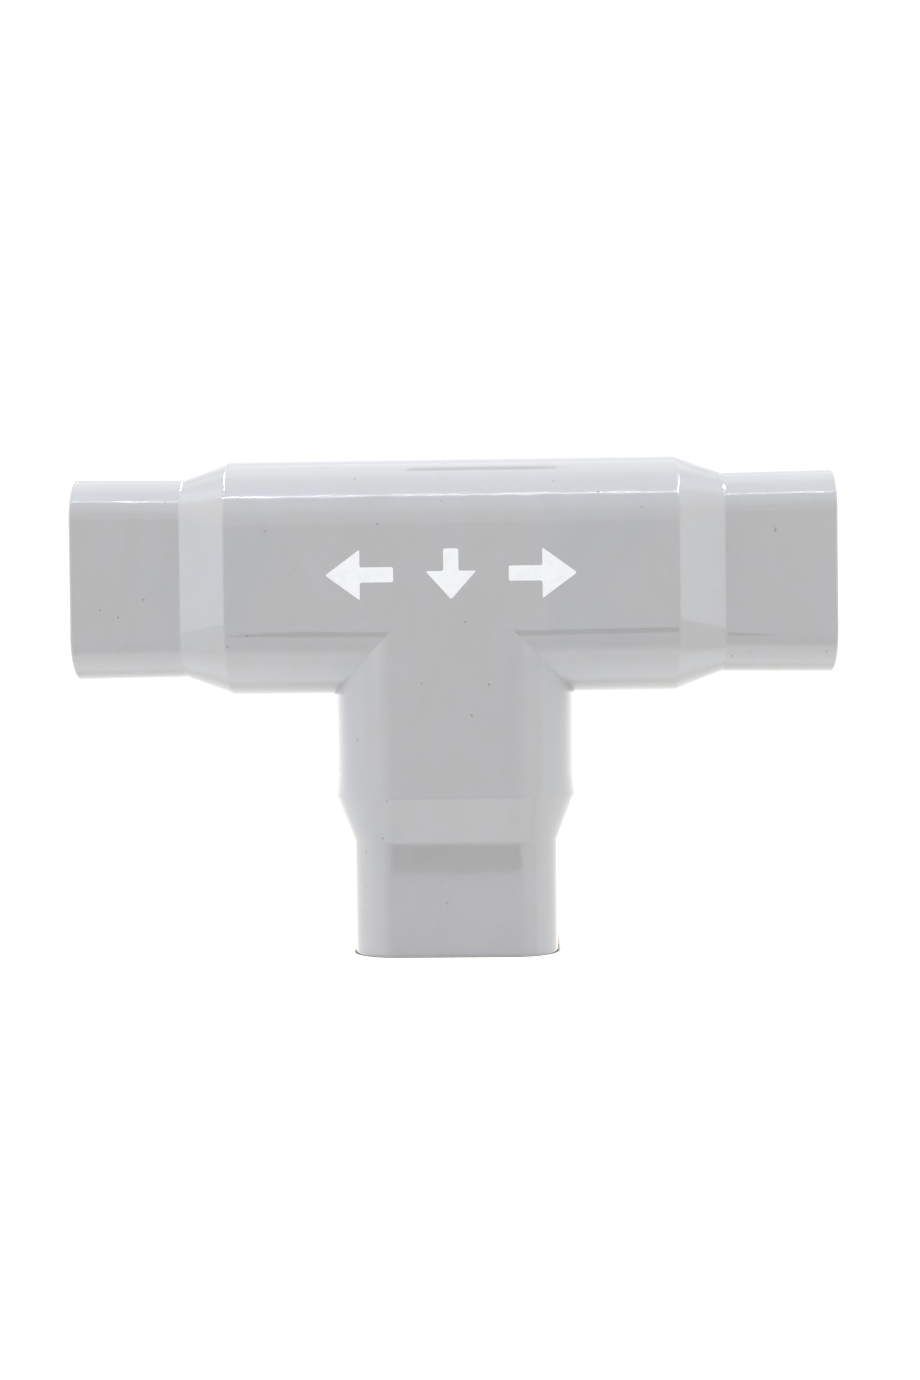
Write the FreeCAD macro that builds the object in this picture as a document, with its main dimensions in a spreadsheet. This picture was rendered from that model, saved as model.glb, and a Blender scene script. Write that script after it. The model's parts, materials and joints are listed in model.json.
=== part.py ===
import FreeCAD, Part
import Sketcher
import math
import os

V = FreeCAD.Vector
Turn = FreeCAD.Rotation

# ---------------------------------------------------------------------------
# Driving dimensions, in millimetres.  "Reach" is always counted along an arm
# of the tee, from the point where the run's axis crosses the branch's axis.
# ---------------------------------------------------------------------------
SIZES = (
    # outer skin: every section is a rounded rectangle, "depth" from front to
    # rear by "height" across the arm
    ("mouth_reach", 74.0, "crossing to each mouth"),
    ("run_body_reach", 43.5, "crossing to the end of the wide body, run"),
    ("run_neck_reach", 52.5, "crossing to the start of the neck, run"),
    ("branch_body_reach", 43.0, "crossing to the end of the wide body, branch"),
    ("branch_neck_reach", 52.1, "crossing to the start of the neck, branch"),
    ("body_depth", 47.6, "depth of the body"),
    ("neck_depth", 40.0, "depth of the necks, at their roots"),
    ("mouth_depth", 40.4, "depth of the necks, at their mouths"),
    ("run_body", 46.5, "height of the body, run"),
    ("run_neck", 39.2, "height of the neck at its root, run"),
    ("run_mouth", 39.7, "height of the neck at its mouth, run"),
    ("branch_body", 47.6, "height of the body, branch"),
    ("branch_neck", 39.9, "height of the neck at its root, branch"),
    ("branch_mouth", 39.7, "height of the neck at its mouth, branch"),
    ("body_corner", 14.0, "corner radius of the body"),
    ("neck_corner", 8.5, "corner radius of the necks"),
    ("crease_round", 1.2, "rounding of the two creases of the taper"),
    ("rim_round", 0.5, "rounding of the mouth's outer edge"),
    ("seam_gap", 0.06, "gap between the two shells"),
    # passages
    ("channel_radius", 14.2, "water channel, the same bore as the pipe's"),
    ("stop_reach", 40.0, "reach of the step that the pipe butts against"),
    ("socket_radius", 16.2, "guide bore round the pipe"),
    ("seat_start", 57.0, "reach of the seal seat's shoulder"),
    ("seat_end", 68.0, "reach of the mouth collar's inner face"),
    ("seat_radius", 18.2, "bore that holds the seal and the rings"),
    ("collar_radius", 16.4, "bore of the mouth collar"),
    ("lead_in", 1.0, "chamfer where the pipe enters"),
    # seam strip: groove in the rear shell, gasket in it, tongue on the front
    ("strip_offset", 17.2, "strip to arm axis"),
    ("strip_bend", 3.0, "bend radius of the strip at the tee's inner corner"),
    ("groove_width", 1.4, "width of groove and gasket"),
    ("groove_depth", 2.6, "depth of the groove"),
    ("gasket_height", 1.4, "height of the gasket"),
    ("tongue_width", 1.2, "width of the tongue"),
    ("tongue_height", 0.9, "height of the tongue"),
    # pipe seal, spacer ring and grab ring
    ("pipe_radius", 16.0, "outside radius of the pipe"),
    ("seal_bevel", 0.5, "bevel of the seal's bore, inner end"),
    ("seal_lead", 1.0, "bevel of the seal's bore, outer end"),
    ("bead_width", 2.0, "width of the seal's two outer beads"),
    ("bead_height", 0.6, "height of those beads"),
    ("seal_start", 57.3, "reach of the seal's inner face"),
    ("seal_end", 62.8, "reach of the seal's outer face"),
    ("seal_radius", 17.9, "outside radius of the seal"),
    ("spacer_end", 65.2, "reach of the spacer's outer face"),
    ("spacer_bore", 16.3, "bore radius of the spacer"),
    ("spacer_bevel", 0.8, "bevel of the spacer's bore, outer end"),
    ("ring_radius", 17.95, "outside radius of spacer and grab ring"),
    ("grab_end", 67.7, "reach of the grab ring's outer face"),
    ("grab_sheet", 0.5, "thickness of the grab ring's sheet steel"),
    ("grab_root", 17.1, "radius where the teeth start"),
    ("grab_tip", 16.05, "radius of the tooth tips, pipe in"),
    ("grab_lean", 1.5, "how far the teeth lean inwards"),
    ("tooth_gap", 1.6, "slot between two teeth"),
    # screws
    ("screw_spacing", 36.0, "screw to the crossing, along an arm"),
    ("screw_offset", 20.0, "screw to arm axis"),
    ("screw_seat", 13.0, "depth of the head's seat, from the seam"),
    ("screw_length", 24.0, "length under the head"),
    ("screw_crest", 1.45, "radius of the thread's crest"),
    ("screw_root", 1.1, "radius of the thread's root"),
    ("screw_pitch", 1.25, "pitch of the thread"),
    ("head_radius", 2.8, "radius of the pan head"),
    ("head_height", 2.0, "height of the pan head"),
    ("clear_radius", 1.55, "clearance hole in the rear shell"),
    ("pilot_radius", 1.5, "screw hole in the front shell"),
    ("pilot_depth", 12.0, "its depth from the seam"),
    ("screw_point", 2.0, "length of the screw's point"),
    ("head_round", 1.2, "rounding of the head's top edge"),
    ("spot_radius", 3.0, "spot face round the head"),
    ("recess_width", 0.8, "arm width of the cross recess"),
    ("recess_length", 3.2, "arm length of the cross recess"),
    ("recess_depth", 1.2, "depth of the cross recess"),
)
TOOTH_COUNT = 12
THREAD_TURNS = 9

# How each arm lies: its pieces are drawn along +X and turned to the arm.  The
# family names the sheet's cells that give its outside.
ARMS = {
    "left": Turn(V(0, 0, 1), 180),
    "right": Turn(),
    "branch": Turn(V(0, 1, 0), 90),
}
FAMILY = {"left": "run", "right": "run", "branch": "branch"}

size = {alias: value for alias, value, _ in SIZES}
doc = FreeCAD.newDocument("pvc_tee_fitting")


def make_sheet():
    """Spreadsheet with one named cell per driving dimension."""
    sheet = doc.addObject("Spreadsheet::Sheet", "dims")
    for row, (alias, value, note) in enumerate(SIZES, start=1):
        sheet.set(f"A{row}", alias)
        sheet.set(f"B{row}", str(value))
        sheet.set(f"C{row}", note)
        sheet.setAlias(f"B{row}", alias)
    doc.recompute()


# ---------------------------------------------------------------------------
# Helpers
# ---------------------------------------------------------------------------
def bind(item, **expressions):
    """Bind properties to the sheet; "__" in a keyword stands for a dot."""
    for key, expression in expressions.items():
        item.setExpression(key.replace("__", "."), expression)
    return item


def new_body(label, turn=None):
    """Body whose origin is the crossing of the two axes."""
    body = doc.addObject("PartDesign::Body", label)
    body.Label = label
    body.Placement = FreeCAD.Placement(V(0, 0, 0), turn or Turn())
    return body


def new_sketch(body, name, plane, shift="0"):
    """Sketch on an origin plane of its body, moved along the plane's normal."""
    sketch = body.newObject("Sketcher::SketchObject", name)
    support = [f for f in body.Origin.OriginFeatures if f.Role == plane][0]
    sketch.AttachmentSupport = [(support, "")]
    sketch.MapMode = "FlatFace"
    sketch.setExpression("AttachmentOffset.Base.z", shift)
    return sketch


def constrain(sketch, kind, *data, name=None, expression=None):
    """Add one constraint, and bind it to the sheet if it has an expression."""
    index = sketch.addConstraint(Sketcher.Constraint(kind, *data))
    if expression:
        sketch.renameConstraint(index, name)
        sketch.setExpression("Constraints." + name, expression)


def rounded_rectangle(sketch, wide, tall, corner):
    """Rounded rectangle about the sketch's origin; sizes are sheet names."""
    half_x = size[wide] / 2
    half_y = size[tall] / 2
    radius = size[corner]
    flat_x = half_x - radius
    flat_y = half_y - radius
    up = V(0, 0, 1)
    corners = ((flat_x, -flat_y), (flat_x, flat_y), (-flat_x, flat_y), (-flat_x, -flat_y))
    lines = (
        (V(-flat_x, -half_y), V(flat_x, -half_y)),
        (V(half_x, -flat_y), V(half_x, flat_y)),
        (V(flat_x, half_y), V(-flat_x, half_y)),
        (V(-half_x, flat_y), V(-half_x, -flat_y)),
    )
    quarter = math.pi / 2
    for index in range(4):
        sketch.addGeometry(Part.LineSegment(*lines[index]), False)
        circle = Part.Circle(V(*corners[index]), up, radius)
        start = (index - 1) * quarter
        sketch.addGeometry(Part.ArcOfCircle(circle, start, start + quarter), False)
    bottom, right, top, left = 0, 2, 4, 6
    for index in range(8):
        constrain(sketch, "Tangent", index, 2, (index + 1) % 8, 1)
    constrain(sketch, "Horizontal", top)
    constrain(sketch, "Vertical", left)
    for arc in (3, 5, 7):
        constrain(sketch, "Equal", 1, arc)
    constrain(sketch, "Symmetric", bottom, 1, bottom, 2, -2)
    constrain(sketch, "Symmetric", right, 1, right, 2, -1)
    constrain(sketch, "DistanceX", left, 1, right, 1, 2 * half_x,
              name="wide", expression="dims." + wide)
    constrain(sketch, "DistanceY", bottom, 1, top, 1, 2 * half_y,
              name="tall", expression="dims." + tall)
    constrain(sketch, "Radius", 1, radius, name="corner", expression="dims." + corner)


def polygon(sketch, corners):
    """Closed outline through corners given as pairs of expressions."""
    count = len(corners)
    for index in range(count):
        start = V(index, index * index)
        stop = V((index + 1) % count, ((index + 1) % count) ** 2)
        sketch.addGeometry(Part.LineSegment(start, stop), False)
    for index in range(count):
        constrain(sketch, "Coincident", index, 2, (index + 1) % count, 1)
    for index, (across, along) in enumerate(corners):
        place_point(sketch, index, 1, across, along, f"p{index}")


def place_point(sketch, geometry, end, across, along, name):
    """Hold one end of a line at a point given by two expressions."""
    if across == "0":
        constrain(sketch, "PointOnObject", geometry, end, -2)
    else:
        constrain(sketch, "DistanceX", -1, 1, geometry, end, 1.0,
                  name=name + "x", expression=across)
    if along == "0":
        constrain(sketch, "PointOnObject", geometry, end, -1)
    else:
        constrain(sketch, "DistanceY", -1, 1, geometry, end, 1.0,
                  name=name + "y", expression=along)


def pad(body, sketch, name, length):
    """Pad along the sketch's normal."""
    feature = body.newObject("PartDesign::Pad", name)
    feature.Profile = sketch
    bind(feature, Length=length)
    return feature


def revolve(body, corners, name):
    """Solid of revolution about the arm's axis: corners are (reach, radius)."""
    sketch = new_sketch(body, name + "_profile", "XZ_Plane")
    polygon(sketch, corners)
    feature = body.newObject("PartDesign::Revolution", name)
    feature.Profile = sketch
    feature.ReferenceAxis = (sketch, ["H_Axis"])
    feature.Angle = 360
    return feature


def loft(body, name, first, last):
    """Straight-sided loft between two sketches."""
    feature = body.newObject("PartDesign::AdditiveLoft", name)
    feature.Profile = first
    feature.Sections = [last]
    feature.Ruled = True
    return feature


def edges_at(shape, reach):
    """Names of the edges that lie in the plane x = reach."""
    names = []
    for index, edge in enumerate(shape.Edges, start=1):
        box = edge.BoundBox
        if abs(box.XMin - reach) < 0.01 and abs(box.XMax - reach) < 0.01:
            names.append(f"Edge{index}")
    return names


def round_edges(body, name, reaches, radius):
    """Fillet every edge that lies across the arm at the given reaches."""
    doc.recompute()
    base = body.Tip
    names = [edge for reach in reaches for edge in edges_at(base.Shape, size[reach])]
    feature = body.newObject("PartDesign::Fillet", name)
    feature.Base = (base, names)
    bind(feature, Radius="dims." + radius)
    return feature


def pocket(body, sketch, name, depth):
    """Pocket against the sketch's normal."""
    feature = body.newObject("PartDesign::Pocket", name)
    feature.Profile = sketch
    bind(feature, Length=depth)
    return feature


def spread(body, feature, sketch, name, count):
    """Repeat a feature round the arm's axis."""
    doc.recompute()
    pattern = body.newObject("PartDesign::PolarPattern", name)
    pattern.Originals = [feature]
    pattern.Axis = (sketch, ["N_Axis"])
    pattern.Angle = 360
    pattern.Occurrences = count
    body.Tip = pattern
    doc.recompute()


def combine(kind, label, parts):
    """Part boolean: Cut takes the second from the first, MultiFuse joins all."""
    result = doc.addObject("Part::" + kind, label)
    result.Label = label
    if kind == "MultiFuse":
        result.Shapes = parts
    else:
        result.Base, result.Tool = parts
    result.Refine = True
    return result


# ---------------------------------------------------------------------------
# The two shells
# ---------------------------------------------------------------------------
def arm_skin(arm):
    """Outside of one arm: wide body, taper, and a neck that opens a little."""
    body = new_body("skin_" + arm, ARMS[arm])
    family = FAMILY[arm]
    root = new_sketch(body, "root", "YZ_Plane")
    rounded_rectangle(root, "body_depth", family + "_body", "body_corner")
    pad(body, root, "wide_body", f"dims.{family}_body_reach")
    stations = (
        ("shoulder", family + "_body_reach", "body_depth", family + "_body", "body_corner"),
        ("neck_root", family + "_neck_reach", "neck_depth", family + "_neck", "neck_corner"),
        ("mouth", "mouth_reach", "mouth_depth", family + "_mouth", "neck_corner"),
    )
    sections = []
    for name, reach, depth, height, corner in stations:
        sketch = new_sketch(body, name, "YZ_Plane", "dims." + reach)
        rounded_rectangle(sketch, depth, height, corner)
        sections.append(sketch)
    loft(body, "taper", sections[0], sections[1])
    loft(body, "neck", sections[1], sections[2])
    creases = (family + "_body_reach", family + "_neck_reach")
    round_edges(body, "creases", creases, "crease_round")
    round_edges(body, "rim", ("mouth_reach",), "rim_round")
    return body


def arm_passage(arm):
    """Inside of one arm: channel, step for the pipe, guide bore, seal seat, collar."""
    body = new_body("passage_" + arm, ARMS[arm])
    overrun = "dims.mouth_reach + dims.lead_in"
    revolve(body, (
        ("0", "0"),
        ("0", "dims.channel_radius"),
        ("dims.stop_reach", "dims.channel_radius"),
        ("dims.stop_reach", "dims.socket_radius"),
        ("dims.seat_start", "dims.socket_radius"),
        ("dims.seat_start", "dims.seat_radius"),
        ("dims.seat_end", "dims.seat_radius"),
        ("dims.seat_end", "dims.collar_radius"),
        ("dims.mouth_reach - dims.lead_in", "dims.collar_radius"),
        (overrun, "dims.collar_radius + 2 * dims.lead_in"),
        (overrun, "0"),
    ), "port_bore")
    return body


# Which end of the corner arc meets the run's stretch, and which the branch's.
ARC_ENDS = {"left": (2, 1), "right": (1, 2)}


def top_spine(spine, reach):
    """Straight route over the top of the run, mouth side to mouth side."""
    level = size["strip_offset"]
    spine.addGeometry(Part.LineSegment(V(-size[reach], level), V(size[reach], level)), False)
    place_point(spine, 0, 1, "-dims." + reach, "dims.strip_offset", "start")
    place_point(spine, 0, 2, "dims." + reach, "dims.strip_offset", "stop")


def corner_spine(spine, side, reach):
    """Route along the run's underside, round the inner corner, down the branch."""
    way, sign = (1, "") if side == "right" else (-1, "-")
    offset = size["strip_offset"]
    corner = offset + size["strip_bend"]
    end = size[reach]
    middle = corner - size["strip_bend"] * math.sqrt(0.5)
    route = (V(way * end, -offset), V(way * corner, -offset),
             V(way * offset, -corner), V(way * offset, -end))
    spine.addGeometry(Part.LineSegment(route[0], route[1]), False)
    spine.addGeometry(Part.Arc(route[1], V(way * middle, -middle), route[2]), False)
    spine.addGeometry(Part.LineSegment(route[2], route[3]), False)
    near_run, near_branch = ARC_ENDS[side]
    constrain(spine, "Tangent", 0, 2, 1, near_run)
    constrain(spine, "Tangent", 1, near_branch, 2, 1)
    constrain(spine, "Horizontal", 0)
    constrain(spine, "Vertical", 2)
    constrain(spine, "Radius", 1, size["strip_bend"], name="bend", expression="dims.strip_bend")
    place_point(spine, 0, 1, sign + "dims." + reach, "-dims.strip_offset", "start")
    place_point(spine, 2, 2, sign + "dims.strip_offset", "-dims." + reach, "stop")


def strip(label, side, reach, width, low, high):
    """Bar along the seam, on one side of the tee: top, left or right.

    It runs to the given reach in each arm; low and high are its two faces'
    distances from the seam, counted towards the rear.
    """
    body = new_body(label)
    spine = new_sketch(body, label + "_route", "XZ_Plane")
    if side == "top":
        top_spine(spine, reach)
    else:
        corner_spine(spine, side, reach)
    sign = "" if side == "right" else "-"
    level = "dims.strip_offset" if side == "top" else "-dims.strip_offset"
    section = new_sketch(body, label + "_section", "YZ_Plane", sign + "dims." + reach)
    inner = f"{level} - dims.{width} / 2"
    outer = f"{level} + dims.{width} / 2"
    polygon(section, ((low, inner), (high, inner), (high, outer), (low, outer)))
    doc.recompute()
    pipe = body.newObject("PartDesign::AdditivePipe", label + "_bar")
    pipe.Profile = section
    pipe.Spine = (spine, [f"Edge{index + 1}" for index in range(len(spine.Geometry))])
    return body


def half_space(label, rear):
    """Box that holds everything on one side of the seam."""
    box = doc.addObject("Part::Box", label)
    bind(box, Length="3 * dims.mouth_reach", Width="dims.body_depth", Height="3 * dims.mouth_reach")
    near = "dims.seam_gap / 2" if rear else "-dims.body_depth - dims.seam_gap / 2"
    bind(box, Placement__Base__x="-1.5 * dims.mouth_reach",
         Placement__Base__y=near, Placement__Base__z="-1.5 * dims.mouth_reach")
    return box


# Where the screws stand, seen from the crossing: (across, up).
SCREWS = (
    ("-dims.screw_spacing", "dims.screw_offset"),
    ("0", "dims.screw_offset"),
    ("dims.screw_spacing", "dims.screw_offset"),
    ("-dims.screw_spacing", "-dims.screw_offset"),
    ("dims.screw_spacing", "-dims.screw_offset"),
    ("-dims.screw_offset", "-dims.screw_spacing"),
    ("dims.screw_offset", "-dims.screw_spacing"),
)
TO_REAR = Turn(V(1, 0, 0), -90)
HEAD_TO_REAR = Turn(V(0, 0, 1), 90)


def screw_holes(label, radius, start, length):
    """One cylinder per screw, from a depth towards the rear, joined as a tool."""
    holes = []
    for number, (across, up) in enumerate(SCREWS, start=1):
        hole = doc.addObject("Part::Cylinder", f"{label}_{number}")
        hole.Placement = FreeCAD.Placement(V(0, 0, 0), TO_REAR)
        bind(hole, Radius="dims." + radius, Height=length, Placement__Base__x=across,
             Placement__Base__y=start, Placement__Base__z=up)
        holes.append(hole)
    return combine("MultiFuse", label, holes)


def lift(item):
    """Raise a finished piece from the crossing to its place over the branch mouth."""
    bind(item, Placement__Base__z="dims.mouth_reach")
    return item


def make_shells():
    """Front and rear shell, parted on the seam."""
    skin = combine("MultiFuse", "skin", [arm_skin(arm) for arm in ARMS])
    passages = combine("MultiFuse", "passages", [arm_passage(arm) for arm in ARMS])
    hollow = combine("Cut", "hollow_tee", (skin, passages))

    front = combine("Common", "front_half", (hollow, half_space("front_space", False)))
    tongues = [
        strip("tongue_" + side, side, "seat_start", "tongue_width", "-1", "dims.tongue_height")
        for side in ("top", "left", "right")
    ]
    front = combine("MultiFuse", "front_with_tongue", [front] + tongues)
    pilots = screw_holes("pilot_holes", "pilot_radius", "-dims.pilot_depth", "dims.pilot_depth + 1")
    front = combine("Cut", "front_shell", (front, pilots))

    rear = combine("Common", "rear_half", (hollow, half_space("rear_space", True)))
    grooves = [
        strip("groove_" + side, side, "seal_start", "groove_width", "-1", "dims.groove_depth")
        for side in ("top", "left", "right")
    ]
    clear = screw_holes("clear_holes", "clear_radius", "-1", "dims.screw_seat + 2")
    spots = screw_holes("spot_faces", "spot_radius", "dims.screw_seat", "dims.body_depth / 2")
    cuts = combine("MultiFuse", "rear_cuts", grooves + [clear, spots])
    rear = combine("Cut", "rear_shell", (rear, cuts))
    return [lift(front), lift(rear)]


# ---------------------------------------------------------------------------
# Seals, rings and screws
# ---------------------------------------------------------------------------
def make_gasket(side):
    """Cord of rubber at the bottom of the rear shell's groove."""
    bottom = "dims.groove_depth"
    top = "dims.groove_depth - dims.gasket_height"
    return lift(strip("seam_gasket_" + side, side, "seal_start", "groove_width", top, bottom))


def make_ring_seal(arm):
    """Rubber ring round the pipe, with two beads on its outside."""
    body = new_body("ring_seal_" + arm, ARMS[arm])
    valley = "dims.seal_radius - dims.bead_height"
    revolve(body, (
        ("dims.seal_start", "dims.pipe_radius + dims.seal_bevel"),
        ("dims.seal_start + dims.seal_bevel", "dims.pipe_radius"),
        ("dims.seal_end - dims.seal_lead", "dims.pipe_radius"),
        ("dims.seal_end", "dims.pipe_radius + dims.seal_lead"),
        ("dims.seal_end", "dims.seal_radius"),
        ("dims.seal_end - dims.bead_width", "dims.seal_radius"),
        ("dims.seal_end - dims.bead_width", valley),
        ("dims.seal_start + dims.bead_width", valley),
        ("dims.seal_start + dims.bead_width", "dims.seal_radius"),
        ("dims.seal_start", "dims.seal_radius"),
    ), "ring")
    return lift(body)


def make_spacer_ring(arm):
    """Hard ring that keeps the grab ring's teeth off the seal."""
    body = new_body("spacer_ring_" + arm, ARMS[arm])
    revolve(body, (
        ("dims.seal_end", "dims.spacer_bore"),
        ("dims.spacer_end - dims.spacer_bevel", "dims.spacer_bore"),
        ("dims.spacer_end", "dims.spacer_bore + dims.spacer_bevel"),
        ("dims.spacer_end", "dims.ring_radius"),
        ("dims.seal_end", "dims.ring_radius"),
    ), "ring")
    return lift(body)


def make_grab_ring(arm):
    """Sheet-steel ring whose teeth lean inwards and hold the pipe."""
    body = new_body("grab_ring_" + arm, ARMS[arm])
    blank = revolve(body, (
        ("dims.grab_end", "dims.ring_radius"),
        ("dims.grab_end", "dims.grab_root"),
        ("dims.grab_end - dims.grab_lean", "dims.grab_tip"),
        ("dims.grab_end - dims.grab_lean - dims.grab_sheet", "dims.grab_tip"),
        ("dims.grab_end - dims.grab_sheet", "dims.grab_root"),
        ("dims.grab_end - dims.grab_sheet", "dims.ring_radius"),
    ), "blank")
    slot = new_sketch(body, "slot_section", "YZ_Plane", "dims.grab_end + 1")
    polygon(slot, (
        ("-dims.tooth_gap / 2", "dims.grab_tip - 1"),
        ("dims.tooth_gap / 2", "dims.grab_tip - 1"),
        ("dims.tooth_gap / 2", "dims.grab_root"),
        ("-dims.tooth_gap / 2", "dims.grab_root"),
    ))
    cut = pocket(body, slot, "slot_cut", "dims.grab_lean + dims.grab_sheet + 2")
    spread(body, cut, slot, "slots", TOOTH_COUNT)
    if body.Shape.Volume >= blank.Shape.Volume:
        raise RuntimeError("the slots of " + body.Label + " cut nothing")
    return lift(body)


def make_screw(number, across, up):
    """Pan-head screw, head to the rear, its thread in the front shell."""
    body = new_body(f"screw_{number}", HEAD_TO_REAR)
    root = "dims.screw_root"
    start = "dims.screw_point - dims.screw_length"
    corners = [("-dims.screw_length", "0"), (start, root)]
    for ridge in range(THREAD_TURNS):
        corners.append((f"{start} + {ridge + 0.5} * dims.screw_pitch", "dims.screw_crest"))
        corners.append((f"{start} + {ridge + 1} * dims.screw_pitch", root))
    corners += [
        ("0", root),
        ("0", "dims.head_radius"),
        ("dims.head_height", "dims.head_radius"),
        ("dims.head_height", "0"),
    ]
    revolve(body, corners, "blank")
    round_edges(body, "head_round", ("head_height",), "head_round")
    doc.recompute()
    full = body.Shape.Volume
    section = new_sketch(body, "recess_section", "YZ_Plane", "dims.head_height")
    half_wide = "dims.recess_width / 2"
    half_long = "dims.recess_length / 2"
    polygon(section, (
        ("-" + half_long, "-" + half_wide),
        (half_long, "-" + half_wide),
        (half_long, half_wide),
        ("-" + half_long, half_wide),
    ))
    arm = pocket(body, section, "recess_arm", "dims.recess_depth")
    spread(body, arm, section, "recess", 4)
    if body.Shape.Volume >= full:
        raise RuntimeError("the recess of " + body.Label + " cuts nothing")
    height = "dims.mouth_reach" if up == "0" else "dims.mouth_reach + " + up
    bind(body, Placement__Base__x=across, Placement__Base__y="dims.screw_seat",
         Placement__Base__z=height)
    return body


def build():
    """Every node of the fitting, in the order they go together."""
    make_sheet()
    nodes = make_shells()
    nodes += [make_gasket(side) for side in ("top", "left", "right")]
    for arm in ARMS:
        nodes += [make_ring_seal(arm), make_spacer_ring(arm), make_grab_ring(arm)]
    nodes += [make_screw(number, *place) for number, place in enumerate(SCREWS, start=1)]
    return nodes


def check(nodes):
    """Stop if any feature failed, or a node isn't one sound solid."""
    for item in doc.Objects:
        if "Invalid" in item.State or "Error" in item.State:
            raise RuntimeError(f"{item.Label} is {item.State}")
    for node in nodes:
        shape = node.Shape
        if shape.isNull() or not shape.isValid() or len(shape.Solids) != 1:
            raise RuntimeError(node.Label + " isn't one valid solid")


def main():
    nodes = build()
    doc.recompute()
    check(nodes)
    os.makedirs("parts", exist_ok=True)
    for node in nodes:
        node.Shape.exportStep(f"parts/{node.Label}.step")
        box = node.Shape.BoundBox
        print(f"{node.Label:22s} {node.Shape.Volume:9.1f} mm3  "
              f"{box.XMin:7.2f} {box.XMax:7.2f} {box.YMin:7.2f} {box.YMax:7.2f} "
              f"{box.ZMin:7.2f} {box.ZMax:7.2f}")


main()
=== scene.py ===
import json
import math

import bmesh
import bpy
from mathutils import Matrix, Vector
from mathutils.geometry import tessellate_polygon


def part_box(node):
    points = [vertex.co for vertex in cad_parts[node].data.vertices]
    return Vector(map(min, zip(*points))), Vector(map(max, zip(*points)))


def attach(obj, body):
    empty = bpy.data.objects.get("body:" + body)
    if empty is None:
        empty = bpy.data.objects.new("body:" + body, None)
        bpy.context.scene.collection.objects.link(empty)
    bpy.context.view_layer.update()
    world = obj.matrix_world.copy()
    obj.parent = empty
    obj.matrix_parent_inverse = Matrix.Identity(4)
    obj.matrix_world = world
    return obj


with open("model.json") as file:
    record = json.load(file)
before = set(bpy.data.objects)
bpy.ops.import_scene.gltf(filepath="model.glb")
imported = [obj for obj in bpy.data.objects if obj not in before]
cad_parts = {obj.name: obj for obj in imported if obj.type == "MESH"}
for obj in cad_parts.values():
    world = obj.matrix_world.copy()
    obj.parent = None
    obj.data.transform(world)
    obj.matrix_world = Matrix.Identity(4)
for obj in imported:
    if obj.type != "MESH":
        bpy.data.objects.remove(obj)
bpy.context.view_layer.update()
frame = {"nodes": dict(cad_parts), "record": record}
nodes = frame["nodes"]

MM = 0.001

# ---------------------------------------------------------------------------
# Where things are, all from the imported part
# ---------------------------------------------------------------------------
shell_low, shell_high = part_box("front_shell")
seal_low, seal_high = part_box("ring_seal_right")
AXIS_Z = (seal_low.z + seal_high.z) / 2
FRONT_Y = shell_low.y
CROSSING = Vector(((shell_low.x + shell_high.x) / 2, 0.0, AXIS_Z))


# ---------------------------------------------------------------------------
# Node helpers
# ---------------------------------------------------------------------------
class Tree:
    """Short ways to add and join shader nodes."""

    def __init__(self, tree):
        self.tree = tree

    def node(self, kind, **settings):
        made = self.tree.nodes.new(kind)
        for key, value in settings.items():
            setattr(made, key, value)
        return made

    def feed(self, socket, value):
        """Join an output to a socket, or set the socket's own value."""
        if isinstance(value, bpy.types.NodeSocket):
            self.tree.links.new(value, socket)
        elif isinstance(value, (tuple, list)) and len(value) == 3 and socket.type == "RGBA":
            socket.default_value = (*value, 1.0)
        else:
            socket.default_value = value

    def shade(self, name, color):
        """Named colour, so that it can be found again in the node editor."""
        made = self.node("ShaderNodeRGB", name=name)
        made.outputs[0].default_value = (*color, 1.0)
        return made.outputs[0]

    def math(self, operation, *values):
        made = self.node("ShaderNodeMath", operation=operation)
        for socket, value in zip(made.inputs, values):
            self.feed(socket, value)
        return made.outputs[0]

    def smooth(self, value, low, high, start=0.0, stop=1.0):
        """Soft step from start to stop as the value goes from low to high."""
        made = self.node("ShaderNodeMapRange", interpolation_type="SMOOTHSTEP")
        for socket, item in zip(made.inputs, (value, low, high, start, stop)):
            self.feed(socket, item)
        return made.outputs[0]

    def mix(self, share, first, second, blend="MIX"):
        made = self.node("ShaderNodeMix", data_type="RGBA", blend_type=blend)
        self.feed(made.inputs[0], share)
        self.feed(made.inputs[6], first)
        self.feed(made.inputs[7], second)
        return made.outputs[2]

    def noise(self, where, scale, detail=2.0, distortion=0.0):
        made = self.node("ShaderNodeTexNoise")
        self.feed(made.inputs["Vector"], where)
        for key, value in (("Scale", scale), ("Detail", detail), ("Distortion", distortion)):
            made.inputs[key].default_value = value
        return made.outputs[0]

    def stretch(self, where, scale, turn=(0.0, 0.0, 0.0), shift=(0.0, 0.0, 0.0)):
        made = self.node("ShaderNodeMapping")
        self.feed(made.inputs["Vector"], where)
        made.inputs["Location"].default_value = shift
        made.inputs["Rotation"].default_value = turn
        made.inputs["Scale"].default_value = scale
        return made.outputs[0]

    def bump(self, height, distance, after=None):
        """Bump whose height is in metres once multiplied by the distance."""
        made = self.node("ShaderNodeBump")
        made.inputs["Strength"].default_value = 1.0
        made.inputs["Distance"].default_value = distance
        self.feed(made.inputs["Height"], height)
        if after is not None:
            self.feed(made.inputs["Normal"], after)
        return made.outputs[0]


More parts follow.
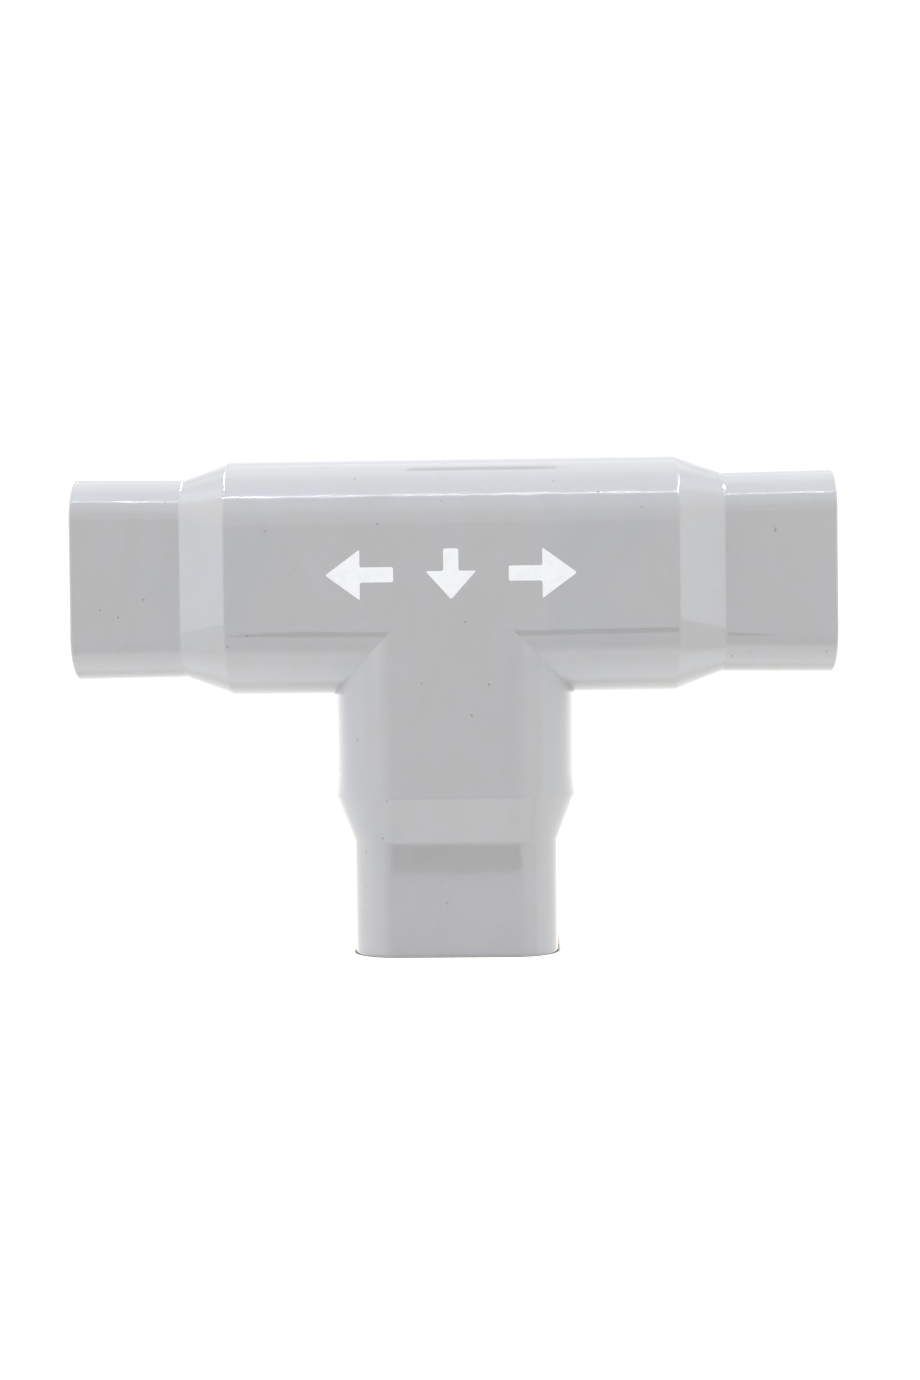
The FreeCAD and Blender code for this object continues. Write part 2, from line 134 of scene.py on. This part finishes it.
def new_material(name, color, roughness, **fixed):
    """Material with a Principled shader; fixed values go on its own sockets."""
    material = bpy.data.materials.new(name)
    material.use_nodes = True
    tree = Tree(material.node_tree)
    shader = material.node_tree.nodes["Principled BSDF"]
    shader.inputs["Base Color"].default_value = (*color, 1.0)
    shader.inputs["Roughness"].default_value = roughness
    for key, value in fixed.items():
        shader.inputs[key.replace("_", " ")].default_value = value
    place = tree.node("ShaderNodeTexCoord").outputs["Object"]
    return material, tree, shader, place


# ---------------------------------------------------------------------------
# Materials
# ---------------------------------------------------------------------------
PVC_GREY = (0.248, 0.248, 0.250)
PVC_SWIRL = tuple(channel * part for channel, part in zip(PVC_GREY, (0.992, 0.996, 1.018)))
PVC_BLOOM = tuple(channel * part for channel, part in zip(PVC_GREY, (0.955, 0.972, 1.015)))
DUST = (0.075, 0.070, 0.064)
DUST_STRENGTH = 0.70


def hair_lines(tree, where, scale, width, distortion, shift):
    """Thin curved lines: where a distorted noise passes its middle value."""
    moved = tree.stretch(where, (1, 1, 1), shift=shift)
    field = tree.noise(moved, scale, detail=0.0, distortion=distortion)
    off = tree.math("ABSOLUTE", tree.math("SUBTRACT", field, 0.5))
    line = tree.smooth(off, width, 0.0)
    patch = tree.noise(moved, scale * 0.45, detail=1.0)
    return tree.math("MULTIPLY", line, tree.smooth(patch, 0.56, 0.66))


def specks(tree, where, cell, size, share):
    """1 on small specks, 0 elsewhere: one speck in a share of the cells."""
    cells = tree.node("ShaderNodeTexVoronoi")
    tree.feed(cells.inputs["Vector"], where)
    cells.inputs["Scale"].default_value = 1 / cell
    speck = tree.smooth(cells.outputs["Distance"], size / cell, 0.4 * size / cell)
    split = tree.node("ShaderNodeSeparateColor")
    tree.feed(split.inputs[0], cells.outputs["Color"])
    chosen = tree.math("GREATER_THAN", split.outputs[0], 1 - share)
    return tree.math("MULTIPLY", speck, chosen)


def make_pvc():
    """Glossy moulded PVC: slow waves, orange peel, swirls, bluish bloom, hairlines, dust."""
    material, tree, shader, place = new_material(
        "grey_pvc_gloss", PVC_GREY, 0.10,
        IOR=1.54, Coat_Weight=0.9, Coat_Roughness=0.04, Coat_IOR=1.5)

    swirl = tree.noise(tree.stretch(place, (1.0, 1.0, 0.55)), 95, detail=3.0, distortion=2.2)
    cloud = tree.noise(place, 38, detail=2.0)
    grain = tree.noise(place, 5200, detail=1.0)
    hairs = tree.math("MAXIMUM",
                      hair_lines(tree, place, 120, 0.006, 1.6, (0.31, 0.12, 0.05)),
                      hair_lines(tree, place, 75, 0.004, 3.0, (0.74, 0.53, 0.21)))
    dirt = tree.math("MAXIMUM",
                     specks(tree, place, 4.2 * MM, 0.30 * MM, 0.42),
                     specks(tree, tree.stretch(place, (1.0, 1.0, 0.45), turn=(0.3, 0.7, 0.4)),
                            5.6 * MM, 0.34 * MM, 0.36))

    tone = tree.math("ADD", tree.smooth(swirl, 0.25, 0.75, 0.985, 1.015),
                     tree.smooth(cloud, 0.25, 0.75, -0.012, 0.012))
    tone = tree.math("ADD", tone, tree.smooth(grain, 0.2, 0.8, -0.022, 0.022))
    tone = tree.math("SUBTRACT", tone, tree.math("MULTIPLY", hairs, 0.03))
    tinted = tree.mix(tree.smooth(swirl, 0.3, 0.7), PVC_GREY, PVC_SWIRL)
    drawn_out = tree.stretch(place, (1.0, 1.0, 0.6), shift=(0.013, 0.2, 0.03))
    bloom = tree.smooth(tree.noise(drawn_out, 42, detail=4.0), 0.55, 0.72)
    tinted = tree.mix(bloom, tinted, PVC_BLOOM)
    grey_tone = tree.node("ShaderNodeCombineColor")
    for socket in grey_tone.inputs[:3]:
        tree.feed(socket, tone)
    color = tree.mix(1.0, tinted, grey_tone.outputs[0], "MULTIPLY")
    color = tree.mix(tree.math("MULTIPLY", dirt, DUST_STRENGTH), color, DUST)
    tree.feed(shader.inputs["Base Color"], color)

    rough = tree.math("ADD", tree.smooth(swirl, 0.3, 0.8, 0.07, 0.12),
                      tree.math("MULTIPLY", hairs, 0.16))
    rough = tree.math("ADD", rough, tree.math("MULTIPLY", dirt, 0.4))
    tree.feed(shader.inputs["Roughness"], rough)

    waves = tree.bump(tree.noise(place, 60, detail=1.0), 0.050 * MM)
    peel = tree.bump(tree.noise(place, 520, detail=1.5), 0.0045 * MM, waves)
    scratched = tree.bump(hairs, -0.0025 * MM, peel)
    dusty = tree.bump(dirt, 0.02 * MM, scratched)
    tree.feed(shader.inputs["Normal"], dusty)
    tree.feed(shader.inputs["Coat Normal"], dusty)
    return material


def make_rubber():
    """Black moulded rubber with bloom and a fine pebble."""
    material, tree, shader, place = new_material(
        "seal_rubber_black", (0.022, 0.022, 0.024), 0.5, IOR=1.52)
    bloom = tree.noise(place, 260, detail=4.0)
    tree.feed(shader.inputs["Base Color"],
              tree.mix(tree.smooth(bloom, 0.45, 0.75), (0.020, 0.020, 0.022), (0.050, 0.050, 0.053)))
    tree.feed(shader.inputs["Roughness"], tree.smooth(bloom, 0.3, 0.8, 0.42, 0.68))
    tree.feed(shader.inputs["Normal"], tree.bump(tree.noise(place, 2600), 0.012 * MM))
    return material


def make_spacer():
    """Off-white hard plastic with a fine spark-eroded texture."""
    material, tree, shader, place = new_material(
        "spacer_acetal", (0.70, 0.70, 0.67), 0.42, IOR=1.48)
    mottle = tree.noise(place, 180, detail=3.0)
    tree.feed(shader.inputs["Base Color"],
              tree.mix(tree.smooth(mottle, 0.3, 0.7), (0.68, 0.68, 0.65), (0.73, 0.73, 0.70)))
    tree.feed(shader.inputs["Normal"], tree.bump(tree.noise(place, 3400), 0.008 * MM))
    return material


def make_steel(name, color, streak, low, high):
    """Drawn or pressed steel: streaks along one direction, small stains."""
    material, tree, shader, place = new_material(name, color, low, Metallic=1.0)
    streaks = tree.noise(tree.stretch(place, streak), 900, detail=3.0)
    stain = tree.noise(place, 420, detail=2.0)
    darker = tuple(channel * 0.78 for channel in color)
    tree.feed(shader.inputs["Base Color"],
              tree.mix(tree.smooth(stain, 0.45, 0.75), color, darker))
    tree.feed(shader.inputs["Roughness"], tree.smooth(streaks, 0.3, 0.7, low, high))
    tree.feed(shader.inputs["Normal"], tree.bump(streaks, 0.004 * MM))
    return material


def make_ink():
    """White pad-printed ink: slightly matt, with a faint mesh and thin spots."""
    material, tree, shader, place = new_material(
        "white_ink", (0.485, 0.49, 0.505), 0.30, IOR=1.5, Coat_Weight=0.2, Coat_Roughness=0.12)
    thin = tree.noise(place, 700, detail=3.0)
    tree.feed(shader.inputs["Base Color"],
              tree.mix(tree.smooth(thin, 0.35, 0.75), (0.495, 0.50, 0.515), (0.465, 0.47, 0.485)))
    tree.feed(shader.inputs["Roughness"], tree.smooth(thin, 0.3, 0.8, 0.26, 0.40))
    tree.feed(shader.inputs["Normal"], tree.bump(thin, 0.004 * MM))
    return material


SLOT_MATERIALS = {
    "grey_pvc": make_pvc(),
    "seal_rubber": make_rubber(),
    "spacer_plastic": make_spacer(),
    "spring_steel": make_steel("spring_steel_bright", (0.60, 0.60, 0.62), (1, 1, 0.05), 0.22, 0.34),
    "screw_steel": make_steel("screw_zinc", (0.62, 0.63, 0.66), (1, 0.08, 1), 0.24, 0.40),
}


def dress_nodes():
    """Give every CAD node the finish of its slot."""
    for part in frame["record"]["subparts"]:
        mesh = nodes[part["node"]].data
        for index in range(max(1, len(mesh.materials))):
            if index < len(mesh.materials):
                mesh.materials[index] = SLOT_MATERIALS[part["material_slot"]]
            else:
                mesh.materials.append(SLOT_MATERIALS[part["material_slot"]])


dress_nodes()


# ---------------------------------------------------------------------------
# Printed flow mark on the front: arrows left, down and right
# ---------------------------------------------------------------------------
INK_PROUD = 0.03 * MM
INK_SUNK = 0.02 * MM
INK_RIM = 0.06 * MM
MARK_HALF = 24.0 * MM
MARK_TALL = 9.7 * MM
MARK_DROP = 0.3 * MM
STROKE = 2.9 * MM
HEAD_LONG = 6.6 * MM
TAIL_LONG = 6.4 * MM
DOWN_HEAD_LONG = 0.56 * MARK_TALL
DOWN_TAIL_LONG = MARK_TALL - DOWN_HEAD_LONG
MARK_CORNER = 0.45 * MM


def arrow(tip, direction, head_long, tail_long, head_wide, stroke):
    """Outline of an arrow in the (x, z) plane, starting at its tip."""
    along = Vector(direction)
    across = Vector((-along.y, along.x))
    neck = tip - along * head_long
    tail = neck - along * tail_long
    return [
        tip,
        neck + across * head_wide / 2,
        neck + across * stroke / 2,
        tail + across * stroke / 2,
        tail - across * stroke / 2,
        neck - across * stroke / 2,
        neck - across * head_wide / 2,
    ]


def rounded(outline, radius, steps=5):
    """The outline with its corners turned into short arcs."""
    made = []
    count = len(outline)
    for index, corner in enumerate(outline):
        before = outline[index - 1] - corner
        after = outline[(index + 1) % count] - corner
        reach = min(radius, before.length * 0.45, after.length * 0.45)
        start = corner + before.normalized() * reach
        stop = corner + after.normalized() * reach
        for step in range(steps + 1):
            t = step / steps
            made.append(start * (1 - t) ** 2 + corner * 2 * t * (1 - t) + stop * t ** 2)
    return made


def print_shape(name, outline):
    """Thin slab of ink in the shell's front face, its rim slightly rounded."""
    builder = bmesh.new()
    levels = (
        (INK_SUNK, 0.0),
        (-INK_PROUD * 0.5, 0.0),
        (-INK_PROUD, INK_RIM),
    )
    turn = turning(outline)
    rings = []
    for depth, inset in levels:
        ring = []
        for index, point in enumerate(outline):
            side = (outline[(index + 1) % len(outline)] - outline[index - 1]).normalized()
            moved = point + Vector((-side.y, side.x)) * inset * turn
            ring.append(builder.verts.new((moved.x, FRONT_Y + depth, moved.y)))
        rings.append(ring)
    for lower, upper in zip(rings, rings[1:]):
        for index in range(len(lower)):
            following = (index + 1) % len(lower)
            builder.faces.new((lower[index], lower[following], upper[following], upper[index]))
    for ring in (rings[0], rings[-1]):
        for corners in tessellate_polygon([[vert.co for vert in ring]]):
            builder.faces.new([ring[index] for index in corners])
    bmesh.ops.recalc_face_normals(builder, faces=builder.faces)
    mesh = bpy.data.meshes.new(name)
    builder.to_mesh(mesh)
    builder.free()
    piece = bpy.data.objects.new(name, mesh)
    bpy.context.scene.collection.objects.link(piece)
    mesh.materials.append(INK)
    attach(piece, "front_body")


def turning(outline):
    """1 for an outline that runs anticlockwise in (x, z), else -1."""
    area = sum(a.x * b.y - b.x * a.y for a, b in zip(outline, outline[1:] + outline[:1]))
    return 1 if area > 0 else -1


INK = make_ink()


def make_mark():
    """The three arrows, each with its tip on the mark's outline."""
    middle = Vector((CROSSING.x, AXIS_Z - MARK_DROP))
    for name, tip, direction, head_long, tail_long in (
        ("flow_mark_left", (-MARK_HALF, 0), (-1, 0), HEAD_LONG, TAIL_LONG),
        ("flow_mark_right", (MARK_HALF, 0), (1, 0), HEAD_LONG, TAIL_LONG),
        ("flow_mark_down", (0, -MARK_TALL / 2), (0, -1), DOWN_HEAD_LONG, DOWN_TAIL_LONG),
    ):
        shape = arrow(middle + Vector(tip), direction, head_long, tail_long, MARK_TALL, STROKE)
        print_shape(name, rounded(shape, MARK_CORNER))


make_mark()


# ---------------------------------------------------------------------------
# Studio: pale floor, two reflection cards, white tent, lamps, camera
# ---------------------------------------------------------------------------
# Painted contact shadow: within this reach of the part, the floor's colour darkens to the colour below and
# its glow goes out.
CONTACT_REACH = 1.5 * MM
PAINTED_CONTACT_SHADOW = (0.07, 0.065, 0.06)
FLOOR_HALF, FLOOR_FRONT, FLOOR_REAR = 1.6, -0.47, 2.4
# Emission of the floor close in front of the part, further in front, and behind it: painted light, dimmer
# close in front of the part and behind it as painted shade.
TABLE_GLOW = {"near": (0.76, 0.69, 0.59), "front": (0.87, 0.82, 0.69), "rear": (0.46, 0.45, 0.43)}
# Depths (y) over which the near floor gives way to the front floor, and either to the rear one.
GLOW_FRONT_EDGE, GLOW_REAR_EDGE = (-0.05, -0.09), (-0.01, 0.03)


def flat_sheet(name, left, right, near, far, height):
    """Level rectangle, linked to the scene."""
    mesh = bpy.data.meshes.new(name)
    mesh.from_pydata([(left, near, height), (right, near, height), (right, far, height), (left, far, height)],
                     [], [(0, 1, 2, 3)])
    sheet = bpy.data.objects.new(name, mesh)
    bpy.context.scene.collection.objects.link(sheet)
    return sheet


def make_floor():
    """Pale table that glows a little, with a painted contact shadow: a thin dark line where the part stands.
    """
    floor = flat_sheet("floor", -FLOOR_HALF, FLOOR_HALF, FLOOR_FRONT, FLOOR_REAR, 0)
    material, tree, shader, place = new_material("paper_white", (0.5, 0.5, 0.5), 0.9)
    split = tree.node("ShaderNodeSeparateXYZ")
    tree.feed(split.inputs[0], place)
    # Painted shadow: ambient occlusion darkens the floor's colour and turns off its glow where the part
    # stands.
    nearby = tree.node("ShaderNodeAmbientOcclusion", samples=8)
    nearby.inputs["Distance"].default_value = CONTACT_REACH
    outside_painted_shadow = tree.smooth(nearby.outputs["AO"], 0.5, 0.85)
    fibres = tree.noise(place, 900, detail=2.0)
    paper = tree.mix(tree.smooth(fibres, 0.3, 0.7), (0.495, 0.495, 0.495), (0.505, 0.505, 0.505))
    tree.feed(shader.inputs["Base Color"], tree.mix(outside_painted_shadow, PAINTED_CONTACT_SHADOW, paper))
    glow = {key: tree.shade("table." + key, color) for key, color in TABLE_GLOW.items()}
    # Painted light: the floor's glow is dimmer close in front of the part and under and behind it, as painted
    # shade.
    ahead = tree.mix(tree.smooth(split.outputs[1], *GLOW_FRONT_EDGE), glow["near"], glow["front"])
    lit = tree.mix(tree.smooth(split.outputs[1], *GLOW_REAR_EDGE), ahead, glow["rear"])
    tree.feed(shader.inputs["Emission Color"], tree.mix(outside_painted_shadow, (0.0, 0.0, 0.0), lit))
    shader.inputs["Emission Strength"].default_value = 1.0
    floor.data.materials.append(material)
    floor.visible_glossy = False


# Reflection cards: left, right, near, far and height in metres, then the grey.
# front_gap makes the dark band on the branch's neck, top_gap the faint patch near the top.
CARDS = {
    "front_gap": (-0.070, 0.085, -0.183, -0.300, 0.0006, 0.02),
    "top_gap": (-0.031, 0.032, 0.08, 0.16, 0.5, 0.75),
}


def make_card(name, left, right, near, far, height, grey):
    """Level patch of the studio that only shows in reflections."""
    card = flat_sheet(name, left, right, near, far, height)
    material, _, _, _ = new_material(name, (grey, grey, grey), 1.0, Specular_IOR_Level=0.0)
    card.data.materials.append(material)
    card.visible_camera = False
    card.visible_diffuse = False
    card.visible_shadow = False


# Radiance of the tent, by elevation band from the ground up and then by direction.
TENT = {
    "deep": {"all": (2.04, 2.14, 2.29)},
    "below": {
        "front": (1.78, 1.86, 2.00), "front_left": (2.13, 2.21, 2.30), "front_right": (2.21, 2.32, 2.47),
        "left": (2.13, 2.24, 2.40), "right": (2.13, 2.26, 2.49), "rear": (1.45, 1.45, 1.45),
    },
    "foot": {
        "front": (0.88, 0.92, 1.04), "front_left": (1.62, 1.67, 1.75), "front_right": (1.29, 1.32, 1.33),
        "left": (1.75, 1.82, 1.91), "right": (1.68, 1.74, 1.82), "rear": (1.45, 1.45, 1.45),
    },
    "level": {
        "front": (0.85, 0.85, 0.92), "front_left": (1.57, 1.58, 1.57), "front_right": (1.35, 1.36, 1.38),
        "left": (1.73, 1.78, 1.83), "right": (1.62, 1.68, 1.74), "rear": (2.15, 2.15, 2.15),
    },
    "slot": {
        "front": (0.85, 0.85, 0.85), "front_left": (2.23, 2.28, 2.40), "front_right": (2.00, 2.05, 2.17),
        "left": (1.84, 1.82, 1.79), "right": (1.60, 1.59, 1.56), "rear": (2.18, 2.18, 2.17),
    },
    "low": {
        "front": (1.14, 1.13, 1.13), "front_left": (2.36, 2.32, 2.30), "front_right": (1.99, 1.95, 1.91),
        "left": (2.33, 2.29, 2.26), "right": (1.51, 1.48, 1.40), "rear": (1.80, 1.81, 1.82),
    },
    "high": {
        "front": (1.52, 1.63, 1.77), "front_left": (2.43, 2.36, 2.28), "front_right": (2.30, 2.31, 2.34),
        "left": (2.95, 3.04, 3.14), "right": (2.69, 2.75, 2.81), "rear": (1.45, 1.45, 1.49),
    },
    "cove": {"front": (2.47, 2.64, 2.93), "rear": (1.99, 2.01, 2.02)},
    "top": {"all": (2.46, 2.51, 2.58)},
}
# Degrees of elevation over which each band gives way to the next.
BAND_EDGES = (
    (-80, -62), (-56, -36), (-4.5, -3.5), (0.2, 1.0),
    (4.0, 9.0), (15, 38), (50.5, 52.5), (60, 80),
)
# Degrees off the front, to either side, over which each zone gives way to the next.
QUARTER_EDGE, SIDE_EDGE, REAR_EDGE, COVE_EDGE = (15, 45), (61, 63), (95, 140), (70, 110)
# What the camera sees behind the part in place of the tent.
BACKDROP = (1.1, 1.1, 1.1)


def make_world():
    """White tent whose brightness depends only on the direction; the backdrop is plain."""
    world = bpy.data.worlds.new("tent")
    bpy.context.scene.world = world
    world.use_nodes = True
    tree = Tree(world.node_tree)
    split = tree.node("ShaderNodeSeparateXYZ")
    tree.feed(split.inputs[0], tree.node("ShaderNodeTexCoord").outputs["Generated"])
    x, y, z = split.outputs
    rise = tree.math("DEGREES", tree.math("ARCSINE", z))
    turn = tree.math("DEGREES", tree.math("ARCTAN2", x, tree.math("MULTIPLY", y, -1.0)))
    off_front = tree.math("ABSOLUTE", turn)
    to_right = tree.math("GREATER_THAN", turn, 0.0)
    to_quarter = tree.smooth(off_front, *QUARTER_EDGE)
    to_side = tree.smooth(off_front, *SIDE_EDGE)
    to_rear = tree.smooth(off_front, *REAR_EDGE)

    bands = []
    for band, zones in TENT.items():
        at = {key: tree.shade(band + "." + key, color) for key, color in zones.items()}
        if "all" in at:
            bands.append(at["all"])
        elif "left" in at:
            quarter = tree.mix(to_right, at["front_left"], at["front_right"])
            side = tree.mix(to_right, at["left"], at["right"])
            ahead = tree.mix(to_quarter, at["front"], quarter)
            bands.append(tree.mix(to_rear, tree.mix(to_side, ahead, side), at["rear"]))
        else:
            bands.append(tree.mix(tree.smooth(off_front, *COVE_EDGE), at["front"], at["rear"]))
    tent = bands[0]
    for (low, high), band in zip(BAND_EDGES, bands[1:]):
        tent = tree.mix(tree.smooth(rise, low, high), tent, band)
    seen = tree.node("ShaderNodeLightPath").outputs["Is Camera Ray"]
    background = world.node_tree.nodes["Background"]
    tree.feed(background.inputs["Color"], tree.mix(seen, tent, BACKDROP))
    background.inputs["Strength"].default_value = 1.0


LAMP_DISTANCE = 0.36
LAMP_RISE = math.radians(52)
LAMP_PITCH = 35.4 * MM
FRONT_COUNT = 14
SIDE_COUNT = 13
STRIP_WIDE = 7 * MM
STRIP_WATTS = 0.035
DIODE_LONG = 11 * MM
DIODE_WIDE = 4 * MM
DIODE_WATTS = 0.034
SIDE_REACH = 160 * MM
SIDE_AIM = 50 * MM
RUN_TOP = CROSSING + Vector((0, -22, 15)) * MM


def make_lamp(name, spot, aim, size, watts):
    """Small rectangular lamp at a place, aimed at another."""
    data = bpy.data.lights.new(name, "AREA")
    data.shape = "RECTANGLE"
    data.size, data.size_y = size
    data.energy = watts
    lamp = bpy.data.objects.new(name, data)
    bpy.context.scene.collection.objects.link(lamp)
    lamp.location = spot
    lamp.rotation_mode = "QUATERNION"
    lamp.rotation_quaternion = (aim - spot).to_track_quat("-Z", "Y")
    return lamp


def make_lamps():
    """A strip above the front, the diodes on it, and a row of diodes down each side.

    The diodes only make highlights.
    """
    front = RUN_TOP + LAMP_DISTANCE * Vector((0, -math.cos(LAMP_RISE), math.sin(LAMP_RISE)))
    make_lamp("strip", front, RUN_TOP, (LAMP_PITCH * (FRONT_COUNT - 1), STRIP_WIDE), STRIP_WATTS)
    diodes = []
    for index in range(FRONT_COUNT):
        across = Vector(((index - (FRONT_COUNT - 1) / 2) * LAMP_PITCH, 0, 0))
        diodes.append((f"diode_front_{index + 1}", front + across, RUN_TOP + across))
    for side, sign in (("left", -1), ("right", 1)):
        for index in range(SIDE_COUNT):
            spot = front + Vector((sign * SIDE_REACH, (index + 0.5) * LAMP_PITCH, 0))
            aim = RUN_TOP + Vector((sign * SIDE_AIM, 0, 0))
            diodes.append((f"diode_{side}_{index + 1}", spot, aim))
    for name, spot, aim in diodes:
        lamp = make_lamp(name, spot, aim, (DIODE_LONG, DIODE_WIDE), DIODE_WATTS)
        lamp.visible_diffuse = False


# Camera from the crossing of the arms, in millimetres, and its turn in degrees.
CAMERA_PLACE = (11.13, -380.83, -15.97)
CAMERA_TURN = (88.969, 0.663, 1.537)
CAMERA_SENSOR = 36.0
CAMERA_LENS = 48.95


def make_camera():
    """Camera in front of the part, a little to the right and below the run."""
    data = bpy.data.cameras.new("camera")
    data.sensor_width = CAMERA_SENSOR
    data.lens = CAMERA_LENS
    data.clip_start = 0.01
    camera = bpy.data.objects.new("camera", data)
    bpy.context.scene.collection.objects.link(camera)
    camera.location = CROSSING + Vector(CAMERA_PLACE) * MM
    camera.rotation_euler = [math.radians(angle) for angle in CAMERA_TURN]
    bpy.context.scene.camera = camera


make_floor()
for card_name, card_values in CARDS.items():
    make_card(card_name, *card_values)
make_world()
make_lamps()
make_camera()
bpy.context.scene.view_settings.view_transform = "Standard"
